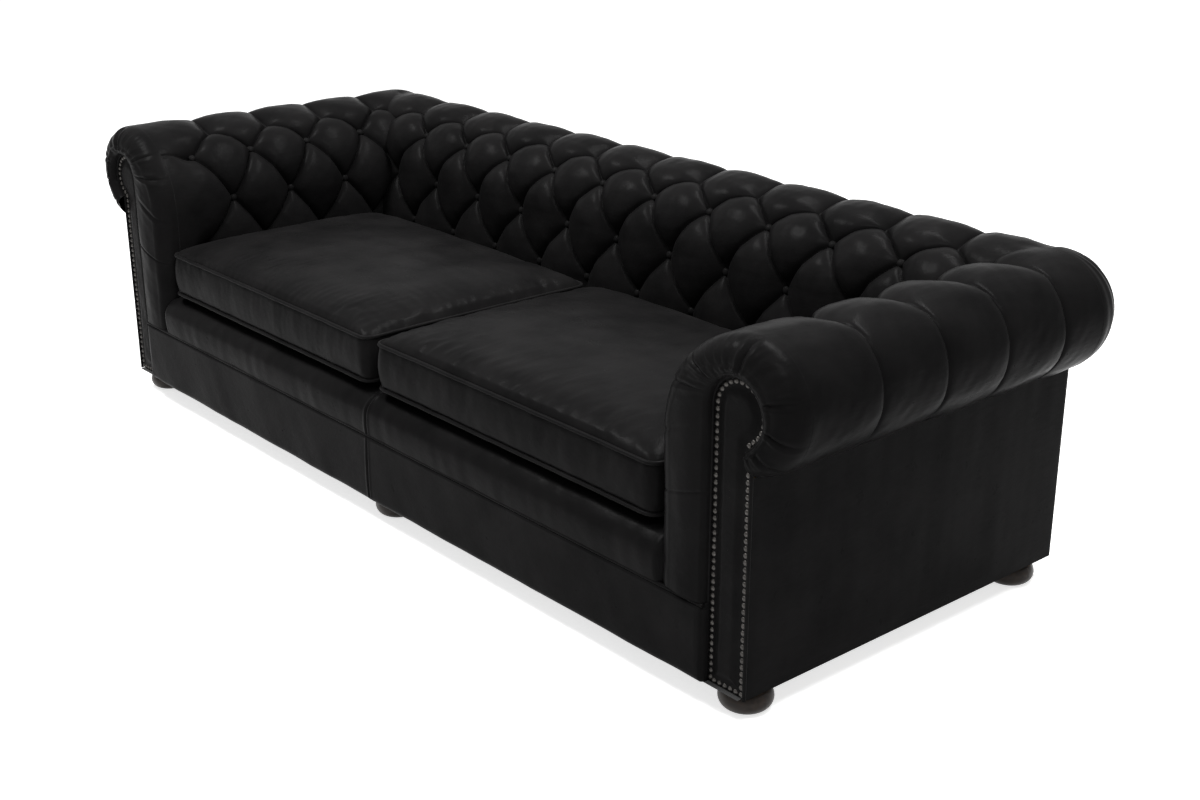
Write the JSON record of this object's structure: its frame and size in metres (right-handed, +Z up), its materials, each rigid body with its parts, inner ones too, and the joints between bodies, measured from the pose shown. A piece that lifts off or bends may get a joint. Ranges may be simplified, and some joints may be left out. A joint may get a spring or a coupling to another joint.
{
  "type": "chesterfield sofa",
  "caption": "Low sofa with rolled arms and back of one height, deep diamond tufting inside, loose welted seat cushions, nailed arm fronts and bun feet.",
  "frame": {"origin": "on the floor, under the middle of the sofa's bounding box", "axes": "+X towards the right-hand arm as seen from the front, +Y to the back, +Z up"},
  "size_m": [2.536, 0.998, 0.7261],
  "materials": {
    "leather": "soft satin",
    "nail_metal": "dark pewter",
    "frame_timber": "raw",
    "jute": "woven",
    "burlap": "woven",
    "foam": "open cell",
    "spring_steel": "zinc plated",
    "deck_cloth": "woven",
    "dust_cloth": "non-woven",
    "foot_wood": "dark stain, satin lacquer",
    "glide_plastic": "moulded",
    "zip_metal": "dark"
  },
  "bodies": {
    "sofa_body": {"back_buttons": "leather", "back_foam": "foam", "back_studs": "frame_timber", "back_stuffing_rail": "frame_timber", "back_top_rail": "frame_timber", "back_tufted_cover": "leather", "back_webbing": "jute", "centre_base_rail": "frame_timber", "corner_blocks": "frame_timber", "corner_posts": "frame_timber", "deck_cover": "deck_cloth", "deck_pad": "foam", "dust_cover": "dust_cloth", "foot_bolts": "spring_steel", "foot_glides": "glide_plastic", "front_base_rail": "frame_timber", "front_feet": "foot_wood", "front_rail_border": "leather", "front_rail_lip": "leather", "front_rail_welt": "leather", "left_arm_buttons": "leather", "left_arm_foam": "foam", "left_arm_front_board": "frame_timber", "left_arm_front_border": "leather", "left_arm_stuffing_rail": "frame_timber", "left_arm_top_rail": "frame_timber", "left_arm_tufted_cover": "leather", "left_arm_webbing": "jute", "left_base_rail": "frame_timber", "left_corner_pad": "leather", "left_facing_nails": "nail_metal", "left_facing_panel": "leather", "left_outer_panel": "leather", "rear_base_rail": "frame_timber", "rear_feet": "foot_wood", "rear_outer_panel": "leather", "right_arm_buttons": "leather", "right_arm_foam": "foam", "right_arm_front_board": "frame_timber", "right_arm_front_border": "leather", "right_arm_stuffing_rail": "frame_timber", "right_arm_top_rail": "frame_timber", "right_arm_tufted_cover": "leather", "right_arm_webbing": "jute", "right_base_rail": "frame_timber", "right_corner_pad": "leather", "right_facing_nails": "nail_metal", "right_facing_panel": "leather", "right_outer_panel": "leather", "seat_burlap": "burlap", "seat_springs": "spring_steel", "spring_clips": "spring_steel"},
    "left_cushion": {"left_cushion_core": "foam", "left_cushion_cover": "leather", "left_cushion_welts": "leather", "left_cushion_zip": "zip_metal"},
    "right_cushion": {"right_cushion_core": "foam", "right_cushion_cover": "leather", "right_cushion_welts": "leather", "right_cushion_zip": "zip_metal"}
  },
  "joints": [
    {"name": "left_cushion_lift", "type": "slide", "parent": "sofa_body", "child": "left_cushion", "axis": [0, 0, 1], "range_m": [0, 0.45]},
    {"name": "right_cushion_lift", "type": "slide", "parent": "sofa_body", "child": "right_cushion", "axis": [0, 0, 1], "range_m": [0, 0.45]}
  ]
}
